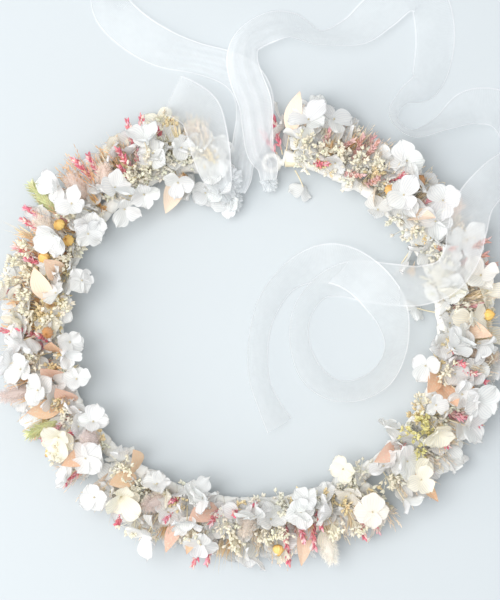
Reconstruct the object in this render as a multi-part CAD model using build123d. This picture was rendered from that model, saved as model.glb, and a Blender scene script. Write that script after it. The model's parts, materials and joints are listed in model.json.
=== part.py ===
from build123d import *
from math import ceil, cos, radians, sin, sqrt
import os
import numpy as np

# A dried-flower crown, lying on a table. Millimetres, +Z up, origin at the centre of the head opening
# on the surface that the crown lies on. The front of the crown is at -Y and its opening at +Y.
# Places round the crown are angles in degrees from +X, counter-clockwise seen from above.

# Driving dimensions of the core: the wire ring with its stems and tape.
HALF_WIDTH = 100.0
HALF_DEPTH = 90.5
CORE_HEIGHT = 10.0
WIRE_RADIUS = 1.0
STEMS_RADIUS = 2.5
TAPE_RADIUS = 3.5
END_ANGLES = {"right": 83.0, "left": 103.0}
END_DIPS = {"right": 3.0, "left": 8.0}
DIP_SPAN = 16.0

# The wire bends at two places beside the front, which stand for its spring along the whole ring.
FLEX_ANGLES = {"right": 311.0, "left": 229.0}
KNUCKLE_GAP = 0.3
INNER_SETBACK = 5.0

# The eyelet at each end of the wire, and the ribbon that is tied through it.
LOOP_RADIUS = 4.0
LOOP_WIRE_RADIUS = 1.2
LOOP_NECK = 1.6
RIBBON_WIDTH = 22.0
RIBBON_THICKNESS = 0.5

# The stems leave the tape with this gap, and the heads keep this much room between each other.
STEM_RADIUS = 0.45
ROOM = 0.35
ROOM_ACROSS_FLEX = 3.6
KNOT_ROOM = 1.5
RIBBON_ROOM = 6.0
GIRTH_SHARE = 1.12
ROUNDS = 260
# The flowers fill a half-round band: this high above the core's middle, this far out, this far in.
CROWN_RISE = 20.0
REACH_OUT = 34.0
REACH_IN = 17.0
LOWEST = 0.15

# Each kind of flower: the head's radius, its length, and where along it the head is widest.
HEADS = {
    "hydrangea_florets": (6.2, 5.5, 1.0),
    "ruscus_leaves": (3.2, 20.0, 0.45),
    "heather_sprigs": (2.2, 13.0, 0.6),
    "broom_clusters": (4.2, 8.0, 0.8),
    "oat_spikelets": (1.7, 14.0, 0.4),
    "bunny_tails": (4.4, 17.0, 0.4),
    "berry_buds": (3.3, 6.6, 0.5),
    "feather_grasses": (1.4, 16.0, 0.4),
    "phalaris_heads": (4.6, 18.0, 0.45),
}
LEAF_THICKNESS = 1.0

# The planting: (angle where the stem leaves the tape, angle of the tip, tip's distance out from the
# core's line). A fourth value is the tip's height above the core's middle, where it is out of the band.
PLANTING = {
    "hydrangea_florets": [
        (9, 9.5, 13), (10, 9, 3), (17, 16.5, 19), (25, 26, 4), (33, 33.5, 12), (32, 31, 1),
        (40, 40.5, 19), (44.5, 44, 11), (48, 48.5, 14), (47, 46, -4), (54, 53.5, 20), (71, 71.5, 21),
        (77, 76.5, 22), (80.5, 81.5, 12), (79, 79, -5),
        (111, 111, -2), (115, 115, -5), (119, 118.5, 6), (122, 122, 14),
        (125, 125, -4), (133, 132.5, -3), (136, 136, 5), (144, 144, 14), (147, 147, 4), (151.5, 152, 1),
        (147, 147.5, 25), (158, 158, 9), (163, 163.5, -3), (169, 169, -2), (176.5, 176.5, 23),
        (184, 184, 13), (184.5, 185, -4), (190, 189.5, 20), (196, 196, 13), (195, 194.5, -1),
        (203, 204, -3), (202, 201, 12), (214, 213.5, 14), (216, 216, -1), (225, 225.5, 10),
        (224.5, 224, 22),
        (233, 234.5, 20), (239, 239, 15), (242.5, 242, 6), (249, 249, 21), (254.5, 254.5, 11),
        (255, 255.5, 0), (259.5, 259.5, 1), (263, 263.5, 20), (272.5, 272.5, 22), (276, 276, 6),
        (285, 285, 6), (292, 292, 3), (297.5, 297.5, 12), (304, 304, 5), (307.5, 307.5, 17),
        (301, 301.5, -7),
        (315, 315.5, 21), (322, 322.5, 13), (318.5, 318.5, 6), (327, 328, -9), (336.5, 337, 19),
        (335, 334.5, 9), (342.5, 342.5, 17), (342, 342.5, 6), (348, 348, 10), (355, 354.5, 5),
        (354, 354, -7), (358.5, 358.5, 18), (1, 1, 9),
    ],
    "ruscus_leaves": [
        (6, 1, 19), (43, 37.5, 12), (54, 52.5, -5), (82.5, 79, 31),
        (113, 106, -8), (167, 160.5, 13), (180, 170.5, 12), (200, 193, 8), (208.5, 204.5, 20),
        (207.5, 202, 4), (191.5, 186, 6), (224, 222, 18),
        (239, 233.5, 10), (237, 234, -6), (264, 258, 12), (291, 284, 30), (255, 253.5, 28),
        (258.5, 257, 25),
        (323.5, 315.5, 2), (320.5, 317, 31), (351, 342, 1), (346, 343.5, 12),
    ],
    "heather_sprigs": [
        (17, 21, 2), (21, 19, 30), (22, 22, 27), (24, 24.8, 26), (31, 27.5, 13), (57, 50.5, 19),
        (58, 55.5, 8), (62.5, 61.2, 22), (63, 64.5, 22), (73.5, 66.5, 15), (75, 71, 3), (67, 60, 5),
        (82.5, 84.5, 22), (83, 86.5, 20),
        (103, 100.5, -10), (119.5, 118, 23), (126, 119.8, 29), (126.5, 121.6, 30), (127.5, 123.5, 20),
        (127, 126.5, 18), (128.5, 128.5, 10), (136.5, 135.8, 22), (137.5, 137, 28), (154, 153.8, 30),
        (155.5, 155.8, 31), (158, 158, 20), (164, 163, 27), (164.5, 164.5, 20), (174, 174, 26),
        (187, 183.5, 28), (188.5, 186.5, 17), (189.5, 189, 14), (188.5, 187.8, 8), (220, 214.5, 20),
        (219, 216.5, 11), (225, 225, 27),
        (240.5, 240.5, 28), (252, 248.5, 14), (253.5, 251.5, 4), (264, 260.5, 34), (264.5, 262.5, 31),
        (265.5, 263.5, 8), (268, 268.5, 4), (283.5, 282.5, 30), (282, 281.5, 20), (286, 286.5, 19),
        (291, 289, 24), (292, 292.2, 16), (306, 300.8, 27), (306.5, 303.3, 28), (306, 305.8, 21),
        (275, 275, 3),
        (332, 332.5, 19), (341, 339, 27), (345, 345, 22), (348.5, 348.5, 21), (351, 350.8, 16),
        (353, 352.5, 11), (323, 322, 3), (357, 357, 6),
    ],
    "broom_clusters": [
        (13, 13, 9), (58.5, 57.8, 14), (61, 61, 11), (68, 68, 11), (74, 73.5, 9), (77, 76.5, 14),
        (79.5, 79, 7), (37, 37, 4),
        (117, 116.5, 24), (120, 120, 19), (124.5, 124, 8), (128, 127.5, 3), (149.5, 149.5, 12),
        (160, 160, 3), (161.5, 161.5, 20), (168, 167.5, 24), (168, 168.5, 17), (171.5, 171.8, 25),
        (173.5, 173.5, 18), (190.5, 190.5, 12), (179.5, 179.5, 5), (173.5, 174, 1), (178, 178, 14),
        (218, 219, 19),
        (233, 233, 2), (244, 243.5, 26), (247, 247, 27), (256.5, 257, 17), (268.5, 268.5, 20),
        (276.5, 276.8, 17), (280, 280, 13), (299.5, 299.5, 21), (293.5, 294, 19), (266, 266, 11),
        (327, 326, 13), (330, 330.5, 11), (327.5, 328, 3), (332.5, 333, 3), (336.5, 337, -2),
        (350, 350, 3), (314, 314, 13),
    ],
    "oat_spikelets": [
        (2, 2, 25), (5, 4.8, 26), (25, 21.5, 8), (26.5, 24, 10), (38.5, 36.5, 19), (66, 65, 26),
        (68.5, 67.5, 23), (70, 70.5, 15),
        (116, 109.5, 16), (116.5, 110.5, 8), (115, 112.5, 19), (114.5, 109.8, 3), (106.5, 105.5, 13),
        (128.5, 127.5, 26), (131.5, 131, 28), (134, 133.5, 23), (160, 159.2, 33), (188, 187.5, 26),
        (191, 190.5, 26), (193.5, 193.8, 24), (199.5, 195.8, -10), (222, 217, 20), (222.5, 219, 13),
        (177, 177, 8),
        (236, 235.5, 27), (244.5, 244.5, 30), (266.5, 265.5, 30), (268.5, 267.8, 28),
        (270.5, 270.5, 27), (303.5, 299.5, 24), (304, 302, 18), (289, 288.5, 19), (251.5, 251.5, 28),
        (319.5, 320, 22), (324.5, 324.5, 17), (354.5, 354.5, 23), (359.5, 359.5, 23),
    ],
    "bunny_tails": [
        (357, 356.5, 24), (36, 35, 28), (140, 133.5, 19), (143, 142, 24), (155.5, 155.5, 23),
        (201, 199.8, 31), (223, 216, 7), (250.5, 244.5, 12), (274.5, 270.5, 14), (292, 292, 30),
    ],
    "berry_buds": [
        (7, 7, 25), (50.5, 50.5, 8), (45.5, 45.5, 23), (15.5, 15.5, 11), (155, 155.3, 14),
        (155, 155, 5), (164.5, 164.5, 13), (216.5, 216, 24), (181.5, 181.5, 4), (280, 279.8, 26),
        (345.5, 346, 17), (339.2, 339.2, 2),
    ],
    "feather_grasses": [
        (13, 11.5, 28), (31, 28.8, -12), (62, 58.5, 26), (352, 351.5, 27),
        (140.5, 136.8, 32), (141, 138.8, 31), (142.2, 141.8, 33), (143.5, 144.3, 28),
        (139.5, 139.5, 24), (159.8, 161, 31), (197, 196.5, 27), (130, 129.5, 22), (109, 108, 21),
        (278, 278, 34), (308.3, 308.6, 33), (247.5, 241.5, 20), (230.6, 231, 27),
    ],
    "phalaris_heads": [(153, 150, 31), (211.5, 209.5, 27)],
}

# Low on the outside the same flowers repeat in turn, under the ones in the planting.
UNDER_KINDS = ["hydrangea_florets", "broom_clusters", "heather_sprigs", "hydrangea_florets", "oat_spikelets"]
UNDER_STEP = 5.0
UNDER_OUT = 21.0
UNDER_UP = -3.0

# The knots, (x, y, z) of the middle and the half sizes of each.
KNOTS = {"left": ((-12.5, 66.5, 8.0), (7.0, 6.5, 6.0)), "right": ((5.5, 76.0, 9.0), (4.5, 4.5, 4.5))}

# Where each ribbon lies: (x, y, height of its lower edge, tilt of its width from flat in degrees).
RIBBON_ROUTES = {
    "ribbon_left": [
        (-5, 74, 13.5, 8), (-5, 83, 15, 3), (-5, 95, 18, 3), (-4, 108, 16, 3), (-5, 120, 8, 3),
        (-10, 129, 3, 5), (-20, 135, 1.5, 5), (-36, 139, 0.6, 8), (-54, 143, 0.6, 25),
        (-68, 150, 0.6, 20), (-80, 160, 1.0, 20), (-88, 171, 1.0, 50),
    ],
    "ribbon_left_tail": [
        (-19, 72, 18, 30), (-23, 82, 27, 5), (-26, 94, 33, 0), (-29, 106, 30, 0), (-36, 114, 24, 0),
        (-46, 118, 16, 0),
    ],
    "ribbon_right": [
        (5, 82, 18, 8), (0, 90, 24, 8), (-2, 102, 28, 5), (-4, 115, 26, 5), (-9, 127, 21, 8),
        (-12, 138, 17, 8), (-10, 148, 12, 10), (0, 156, 5, 25), (12, 158, 0.6, 45),
        (28, 152, 0.6, 60), (46, 157, 0.6, 35), (58, 168, 0.6, 20), (70, 178, 0.6, 20),
        (82, 176, 0.6, 20), (87, 162, 0.6, 10), (87, 146, 0.6, 20), (83, 131, 0.6, 45),
        (73, 124, 0.6, 70), (68, 114, 0.6, 75), (78, 106, 0.6, 75), (93, 112, 0.6, 60),
        (108, 121, 0.6, 30), (122, 121, 0.6, 20), (132, 113, 0.6, 10), (134, 102, 6.0, 15),
        (129, 91, 22, 20), (118, 82, 34, 30), (109, 70, 37, 25), (106, 56, 37, 15),
        (104, 43, 37, 15), (97, 32, 35, 15), (85, 27, 22, 10), (73, 27, 8, 10), (60, 28, 0.6, 15),
        (46, 28, 0.6, 35), (34, 23, 0.6, 55), (26, 11, 0.6, 60), (25, -4, 0.6, 60),
        (31, -19, 0.6, 60), (43, -28, 0.6, 60), (57, -28, 0.6, 60), (69, -20, 0.6, 60),
        (75, -6, 0.6, 60), (73, 9, 0.6, 45), (66, 21, 6.0, 20), (55, 31, 9.0, 10), (42, 36, 8.0, 15),
        (28, 34, 2.0, 35), (15, 25, 0.6, 55), (7, 10, 0.6, 60), (4, -8, 0.6, 60), (6, -25, 0.6, 60),
        (12, -39, 0.6, 55), (18, -49, 0.6, 50),
    ],
}
ROLL_CENTRE = (-97.0, 191.0)
ROLL_RADIUS = 15.0


def core_point(angle):
    """A point on the core's middle line: an ellipse whose two open ends dip inwards."""
    theta = radians(angle)
    point = Vector(HALF_WIDTH * cos(theta), HALF_DEPTH * sin(theta), CORE_HEIGHT)
    dip = 0.0
    for side, past in (("right", angle - END_ANGLES["right"]), ("left", END_ANGLES["left"] - angle)):
        near = (past + DIP_SPAN) / DIP_SPAN
        if 0 < near and 0 < angle < 180:
            dip = max(dip, END_DIPS[side] * near**2 * (abs(past) <= DIP_SPAN))
    return point - outward_of_ellipse(angle) * dip


def outward_of_ellipse(angle):
    """The level direction straight out of the ellipse at this angle."""
    theta = radians(angle)
    return Vector(cos(theta) / HALF_WIDTH, sin(theta) / HALF_DEPTH, 0).normalized()


def core_direction(angle):
    """The direction of the core's line, counter-clockwise."""
    return (core_point(angle + 0.05) - core_point(angle - 0.05)).normalized()


def side_of(angle):
    """Which body holds the flowers at this angle: the front, or one of the two arms."""
    turn = angle % 360
    if FLEX_ANGLES["left"] < turn < FLEX_ANGLES["right"]:
        return "front"
    return "left" if 90 < turn <= FLEX_ANGLES["left"] else "right"


def core_path(start, end):
    """The core's line from one angle to another, as tangent arcs of about ten degrees."""
    count = max(1, ceil(abs(end - start) / 10))
    places = [start + (end - start) * n / count for n in range(count + 1)]
    turn = 1 if end > start else -1
    direction = core_direction(start) * turn
    arcs = []
    for here, there in zip(places, places[1:]):
        arc = Edge.make_tangent_arc(core_point(here), direction, core_point(there))
        direction = arc.tangent_at(1)
        arcs.append(arc)
    return Wire(arcs)


def core_layer(start, end, radius):
    """A round bar along the core's line."""
    path = core_path(start, end)
    section = Plane(origin=path.position_at(0), z_dir=path.tangent_at(0)) * Circle(radius)
    return sweep(section, path=path).solid()


def degrees_for(length, angle):
    """How many degrees this length of the core takes up at this angle."""
    return length / (core_point(angle + 0.5) - core_point(angle - 0.5)).length


def upright(angle, radius):
    """An upright round cutter through the core at this angle."""
    place = core_point(angle)
    return Pos(place.X, place.Y, CORE_HEIGHT) * Cylinder(radius, 40)


def front_core():
    """The front's wire, stems and tape. Each end of the tape is a round nose on the flex axis."""
    low, high = FLEX_ANGLES["left"], FLEX_ANGLES["right"]
    nose = degrees_for(TAPE_RADIUS, low) * 1.3
    inner = degrees_for(INNER_SETBACK, low) * 0.5
    tape = core_layer(low - nose, high + nose, TAPE_RADIUS)
    for angle, turn in ((low, -1), (high, 1)):
        heading = core_direction(angle) * turn
        past = Plane(origin=core_point(angle), z_dir=heading) * Pos(0, 0, 10) * Box(40, 40, 20)
        tape = tape - (past - upright(angle, TAPE_RADIUS))
    return core_layers(tape, low + inner, high - inner)


def arm_core(side):
    """One arm's wire, stems and tape. Its hollow end turns round the front's nose."""
    start, end = FLEX_ANGLES[side], END_ANGLES[side]
    if side == "right":
        start -= 360
    turn = 1 if end > start else -1
    tape = core_layer(start, end, TAPE_RADIUS) - upright(start, TAPE_RADIUS + KNUCKLE_GAP)
    inner = degrees_for(INNER_SETBACK, start) * turn
    return core_layers(tape, start + inner * 1.4, end - degrees_for(1.0, end) * turn)


def core_layers(tape, start, end):
    """The tape with its bore, the stems bound inside it, and the wire inside the stems."""
    wire = core_layer(start, end, WIRE_RADIUS)
    stems = core_layer(start, end, STEMS_RADIUS)
    return {"tape": tape - stems, "bound_stems": stems - wire, "wire": wire}


def loop_middle(side):
    """The middle of the eyelet at one end of the wire."""
    angle = END_ANGLES[side]
    heading = core_direction(angle) * (1 if side == "right" else -1)
    return core_point(angle) + heading * (LOOP_NECK + LOOP_RADIUS)


def end_loop(side):
    """The taped eyelet at one end of the wire, with the short neck that joins it to the core."""
    start, middle = core_point(END_ANGLES[side]), loop_middle(side)
    heading = (middle - start).normalized()
    neck = Plane(origin=start, z_dir=heading) * Pos(0, 0, LOOP_NECK / 2 + ROOM) * Cylinder(
        LOOP_WIRE_RADIUS, LOOP_NECK
    )
    eyelet = Pos(middle.X, middle.Y, middle.Z) * Torus(LOOP_RADIUS, LOOP_WIRE_RADIUS)
    return (eyelet + neck).solid()


def rise_at(out):
    """How high the flower band stands above the core's middle, this far out from its line."""
    reach = REACH_OUT if out > 0 else REACH_IN
    return CROWN_RISE * sqrt(max(0.05, 1 - (out / reach) ** 2))


def planted():
    """Every flower as [kind, stem angle, tip], in the order of the planting, then the low ones."""
    flowers = []
    for kind, places in PLANTING.items():
        for at, to, out, *up in places:
            height = up[0] if up else rise_at(out)
            flowers.append([kind, at, tip_point(to, out, height)])
    count = round(360 / UNDER_STEP)
    for n in range(count):
        angle = (n + 0.5) * UNDER_STEP
        near_flex = min(abs(angle - flex) for flex in FLEX_ANGLES.values()) < 2.5
        if near_flex or END_ANGLES["right"] - 2 < angle < END_ANGLES["left"] + 2:
            continue
        kind = UNDER_KINDS[n % len(UNDER_KINDS)]
        longer = HEADS[kind][1] * 0.25
        flowers.append([kind, angle, tip_point(angle, UNDER_OUT + longer, UNDER_UP)])
    return flowers


def tip_point(angle, out, up):
    """A point beside the core, from its angle, how far out and how far up it is."""
    return core_point(angle) + outward_of_ellipse(angle) * out + Vector(0, 0, up)


def nearest_on_segments(p, q, r, s):
    """The nearest points of segments pq and rs, row by row, as shares along each."""
    d1, d2, gap = q - p, s - r, p - r
    a = (d1 * d1).sum(1)
    e = (d2 * d2).sum(1)
    f = (d2 * gap).sum(1)
    c = (d1 * gap).sum(1)
    b = (d1 * d2).sum(1)
    spread = np.maximum(a * e - b * b, 1e-9)
    along = np.clip((b * f - c * e) / spread, 0, 1)
    other = np.clip((b * along + f) / e, 0, 1)
    along = np.clip((b * other - c) / a, 0, 1)
    return along, other


def ceilings():
    """Places where a ribbon passes over the flowers: (x, y, height, half width), close together."""
    places = []
    for route in RIBBON_ROUTES.values():
        for here, there in zip(route, route[1:]):
            for share in (0, 1 / 3, 2 / 3):
                x, y, low, tilt = (a + (b - a) * share for a, b in zip(here, there))
                if low > CORE_HEIGHT:
                    places.append((x, y, low, RIBBON_WIDTH / 2 * cos(radians(tilt))))
    return np.array(places)


def settled(flowers):
    """The flowers' tips after each head has pressed its neighbours aside until all have room."""
    kinds = [kind for kind, _, _ in flowers]
    girth = np.array([HEADS[kind][0] for kind in kinds]) * GIRTH_SHARE
    length = np.array([HEADS[kind][1] for kind in kinds])
    base = np.array([tuple(core_point(at)) for _, at, _ in flowers])
    tip = np.array([tuple(tip) for _, _, tip in flowers])
    wanted = tip.copy()
    side = np.array([side_of(at) for _, at, _ in flowers])
    first, second = np.triu_indices(len(flowers), 1)
    near = np.linalg.norm(base[first] - base[second], axis=1) < 60
    first, second = first[near], second[near]
    room = np.where(side[first] == side[second], ROOM, ROOM_ACROSS_FLEX)
    over = ceilings()
    rows = np.arange(len(flowers))
    bar = np.array([tuple(core_point(angle)) for angle in range(int(END_ANGLES["left"]) - 360, 84, 3)])
    fixed = [(middle, max(sizes)) for middle, sizes in KNOTS.values()]
    fixed += [(tuple(loop_middle(end)), LOOP_RADIUS + LOOP_WIRE_RADIUS) for end in END_ANGLES]
    for step in range(ROUNDS):
        move = np.zeros_like(tip)
        for head_of_first, head_of_second in ((True, True), (True, False), (False, True), (False, False)):
            p, q, r1 = body_line(base, tip, length, girth, first, head_of_first)
            r, s, r2 = body_line(base, tip, length, girth, second, head_of_second)
            u, v = nearest_on_segments(p, q, r, s)
            apart = (p + u[:, None] * (q - p)) - (r + v[:, None] * (s - r))
            distance = np.maximum(np.linalg.norm(apart, axis=1), 1e-6)
            push = np.maximum(0, r1 + r2 + room - distance) * 0.4
            shift = apart / distance[:, None] * push[:, None]
            np.add.at(move, first, shift)
            np.add.at(move, second, -shift)
        for middle, size in fixed:
            away = tip - middle
            distance = np.linalg.norm(away, axis=1)
            push = np.maximum(0, size + girth + KNOT_ROOM - distance)
            move += away / distance[:, None] * push[:, None] * 0.5
        for share in (0.0, 0.5):
            place = tip - (tip - base) * (share * length / np.linalg.norm(tip - base, axis=1))[:, None]
            away = place[:, None] - bar[None]
            distance = np.linalg.norm(away, axis=2)
            nearest = distance.argmin(axis=1)
            away, distance = away[rows, nearest], distance[rows, nearest]
            push = np.maximum(0, TAPE_RADIUS + girth + ROOM - distance)
            move += away / distance[:, None] * push[:, None] * 0.5
        tip = tip + np.clip(move, -1.0, 1.0)
        if step < ROUNDS * 0.6:
            tip += (wanted - tip) * 0.02
        for x, y, height, half in over:
            under = np.hypot(tip[:, 0] - x, tip[:, 1] - y) < half + girth + RIBBON_ROOM
            tip[under, 2] = np.minimum(tip[under, 2], height - girth[under] * 0.9 - ROOM)
        tip[:, 2] = np.maximum(tip[:, 2], girth + LOWEST)
    return tip


def body_line(base, tip, length, girth, rows, head):
    """The middle line and the radius of each row's head, or of its stem."""
    b, t = base[rows], tip[rows]
    size = np.linalg.norm(t - b, axis=1)
    along = (t - b) / size[:, None]
    ends = np.minimum(length[rows], size * 0.8)
    if head:
        inset = np.minimum(girth[rows], ends * 0.5)
        return t - along * (ends - inset + 0.001)[:, None], t - along * inset[:, None], girth[rows]
    return b + along * (TAPE_RADIUS + 0.2), t - along * ends[:, None], np.full(len(rows), STEM_RADIUS)


def turned_head(radius, length, widest):
    """A head turned round its own axis, with its foot at the origin and its tip up along Z."""
    middle = length * widest
    outline = [(0, 0), (STEM_RADIUS, 0)]
    if widest >= 1:
        outline += [(radius * 0.75, length * 0.45), (radius, length), (0, length)]
    else:
        outline += [(radius * 0.8, middle * 0.5), (radius, middle)]
        outline += [(radius * 0.75, middle + (length - middle) * 0.55), (radius * 0.2, length), (0, length)]
    face = Plane.XZ * make_face(Polyline(*outline, close=True))
    return revolve(face, Axis.Z)


def leaf_head(width, length):
    """A flat pointed leaf, standing along Z with its face towards Y."""
    half = width / 2
    edge = ThreePointArc((0, 0), (half, length * 0.45), (0, length))
    other = ThreePointArc((0, length), (-half, length * 0.45), (0, 0))
    face = make_face(Curve() + [edge, other])
    return Plane.XZ * extrude(face, LEAF_THICKNESS / 2, both=True)


def flower(kind, at, tip):
    """One flower: its head at the tip, on a straight stem that starts at the tape."""
    radius, length, widest = HEADS[kind]
    foot = core_point(at)
    along = Vector(*tip) - foot
    reach = along.length
    along = along.normalized()
    lean = along.cross(core_direction(at)).length
    start = (TAPE_RADIUS + STEM_RADIUS + 0.15 + radius * 0.8 * (1 - lean)) / lean
    length = min(length, reach - start - 1.0)
    level = Vector(0, 0, 1).cross(along)
    plane = Plane(origin=foot, x_dir=level.normalized(), z_dir=along)
    if kind == "ruscus_leaves":
        head = leaf_head(radius * 2, length)
    else:
        head = turned_head(radius, length, widest)
    stem_length = reach - length - start + 0.5
    stem = Pos(0, 0, start + stem_length / 2) * Cylinder(STEM_RADIUS, stem_length)
    return (plane * (Pos(0, 0, reach - length) * head + stem)).solid()


def ribbon_band(route):
    """A thin band along a route, with a straight-sided stretch from each place to the next."""
    places = [Vector(x, y, 0) for x, y, _, _ in route]
    sections = []
    for n, (x, y, low, tilt) in enumerate(route):
        before, after = places[max(n - 1, 0)], places[min(n + 1, len(places) - 1)]
        heading = (after - before).normalized()
        level = heading.cross(Vector(0, 0, 1))
        across = level * cos(radians(tilt)) + Vector(0, 0, 1) * sin(radians(tilt))
        centre = Vector(x, y, low + RIBBON_WIDTH / 2 * sin(radians(tilt)) + RIBBON_THICKNESS / 2)
        place = Plane(origin=centre, x_dir=across, z_dir=heading)
        sections.append(place * Rectangle(RIBBON_WIDTH, RIBBON_THICKNESS))
    return loft([section.face() for section in sections], ruled=True).solid()


def knot(side):
    """The gathered knot of one ribbon, beside its eyelet."""
    middle, sizes = KNOTS[side]
    return (Pos(*middle) * scale(Sphere(1), by=sizes)).solid()


def main():
    os.makedirs("parts", exist_ok=True)
    nodes = {}
    for side, layers in (("front", front_core()), ("left", arm_core("left")), ("right", arm_core("right"))):
        for layer, solid in layers.items():
            nodes[f"{layer}_{side}"] = [solid]
    for side in END_ANGLES:
        nodes[f"end_loop_{side}"] = [end_loop(side)]
        nodes[f"ribbon_knot_{side}"] = [knot(side)]
    flowers = planted()
    for (kind, at, _), tip in zip(flowers, settled(flowers)):
        nodes.setdefault(f"{kind}_{side_of(at)}", []).append(flower(kind, at, tip))
    for name, route in RIBBON_ROUTES.items():
        nodes[name] = [ribbon_band(route)]
    roll = Pos(*ROLL_CENTRE, RIBBON_WIDTH / 2 + LOWEST) * Cylinder(ROLL_RADIUS, RIBBON_WIDTH)
    nodes["ribbon_left_roll"] = [roll.solid()]
    for name, solids in nodes.items():
        export_step(Compound(children=solids, label=name), f"parts/{name}.step")
        print(name, len(solids), round(sum(solid.volume for solid in solids), 1))


main()
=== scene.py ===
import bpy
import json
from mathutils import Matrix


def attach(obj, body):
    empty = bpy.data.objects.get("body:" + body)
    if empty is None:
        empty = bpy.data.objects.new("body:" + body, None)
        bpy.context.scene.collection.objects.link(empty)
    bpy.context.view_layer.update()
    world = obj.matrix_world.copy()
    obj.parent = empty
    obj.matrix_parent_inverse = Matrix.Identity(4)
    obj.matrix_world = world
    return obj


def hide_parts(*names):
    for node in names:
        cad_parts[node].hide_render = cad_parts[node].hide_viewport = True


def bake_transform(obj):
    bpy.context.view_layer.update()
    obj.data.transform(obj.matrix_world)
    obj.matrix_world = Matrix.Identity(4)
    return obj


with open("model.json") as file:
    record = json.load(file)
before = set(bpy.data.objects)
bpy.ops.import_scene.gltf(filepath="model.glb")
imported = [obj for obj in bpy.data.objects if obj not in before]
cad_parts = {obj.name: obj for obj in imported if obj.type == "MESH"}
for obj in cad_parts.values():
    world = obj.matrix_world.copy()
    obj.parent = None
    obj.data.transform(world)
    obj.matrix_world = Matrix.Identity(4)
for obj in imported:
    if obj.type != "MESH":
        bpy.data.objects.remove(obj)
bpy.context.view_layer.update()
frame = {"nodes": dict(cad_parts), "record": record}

import json
from math import cos, pi, radians, sin, tau

import bpy
import numpy as np

# A dried-flower crown on a pale table. Lengths in the tables are millimetres; the meshes are in metres.
MM = 0.001
RNG = np.random.default_rng(11)
between = RNG.uniform

# The core's line, as in the CAD model: an ellipse whose two open ends dip inwards.
HALF_WIDTH = 100.0
HALF_DEPTH = 90.5
CORE_HEIGHT = 10.0
END_ANGLES = {"right": 83.0, "left": 103.0}
END_DIPS = {"right": 3.0, "left": 8.0}
DIP_SPAN = 16.0
FLEX_ANGLES = {"right": 311.0, "left": 229.0}
FRONT_MIDDLE = 270.0
TAPE_RADIUS = 3.4
TAPE_PITCH = 8.5
LOOP_RADIUS = 4.0
LOOP_NECK = 1.6
LOOP_TUBE = 1.3
TAPE_STEP = 0.12
TAPE_SIDES = 22

RIBBON_WIDTH = 22.0
RIBBON_COLUMNS = 13
RIBBON_LOWEST = 0.35

# No point is lower than about this. The ripple keeps pressed-down points out of one plane.
LOWEST = 0.25
LOWEST_RIPPLE = 0.02

PETAL_POINTS = 11
UP = np.array([0.0, 0.0, 1.0])


# ---- small helpers

def rgb(r, g, b):
    """A display colour from 0 to 255 as linear numbers."""
    values = np.array([r, g, b], float) / 255
    return tuple(np.where(values <= 0.04045, values / 12.92, ((values + 0.055) / 1.055) ** 2.4))


def unit(v):
    """The vector, or each row of vectors, at length one."""
    v = np.asarray(v, float)
    return v / np.maximum(np.linalg.norm(v, axis=-1, keepdims=True), 1e-9)


def outward(angle):
    """The level direction straight out of the ellipse at this angle."""
    t = radians(angle)
    return unit([cos(t) / HALF_WIDTH, sin(t) / HALF_DEPTH, 0.0])


def core_point(angle):
    """A point on the core's middle line, in millimetres."""
    t = radians(angle)
    dip = 0.0
    for past, side in ((angle - END_ANGLES["right"], "right"), (END_ANGLES["left"] - angle, "left")):
        near = (past + DIP_SPAN) / DIP_SPAN
        if near > 0 and 0 < angle < 180 and abs(past) <= DIP_SPAN:
            dip = max(dip, END_DIPS[side] * near**2)
    return np.array([HALF_WIDTH * cos(t), HALF_DEPTH * sin(t), CORE_HEIGHT]) - outward(angle) * dip


def core_direction(angle):
    """The direction of the core's line, counter-clockwise."""
    return unit(core_point(angle + 0.05) - core_point(angle - 0.05))


def side_of(angle):
    """The body at this angle."""
    turn = angle % 360
    if FLEX_ANGLES["left"] < turn < FLEX_ANGLES["right"]:
        return "front"
    return "left_arm" if 90 < turn <= FLEX_ANGLES["left"] else "right_arm"


def turned(axes, turn):
    """The axes, turned about the last of them."""
    x, y, z = axes.T
    c, s = cos(turn), sin(turn)
    return np.stack([x * c + y * s, -x * s + y * c, z], axis=1)


def axes_along(direction, roll=0.0):
    """Three unit columns: the last is the direction, and the other two are across it."""
    z = unit(direction)
    helper = UP if abs(z[2]) < 0.9 else np.array([1.0, 0.0, 0.0])
    x = unit(np.cross(helper, z))
    return turned(np.stack([x, np.cross(z, x), z], axis=1), roll)


def rolled(direction):
    """Axes along the direction, turned about it by chance."""
    return axes_along(direction, between(0, tau))


def swayed(direction, spread):
    """The direction, leaning by chance."""
    return unit(direction + RNG.normal(0, spread, 3))


def linked(name, data):
    """A new object in the scene, with this mesh, light or camera."""
    obj = bpy.data.objects.new(name, data)
    bpy.context.scene.collection.objects.link(obj)
    return obj


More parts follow.
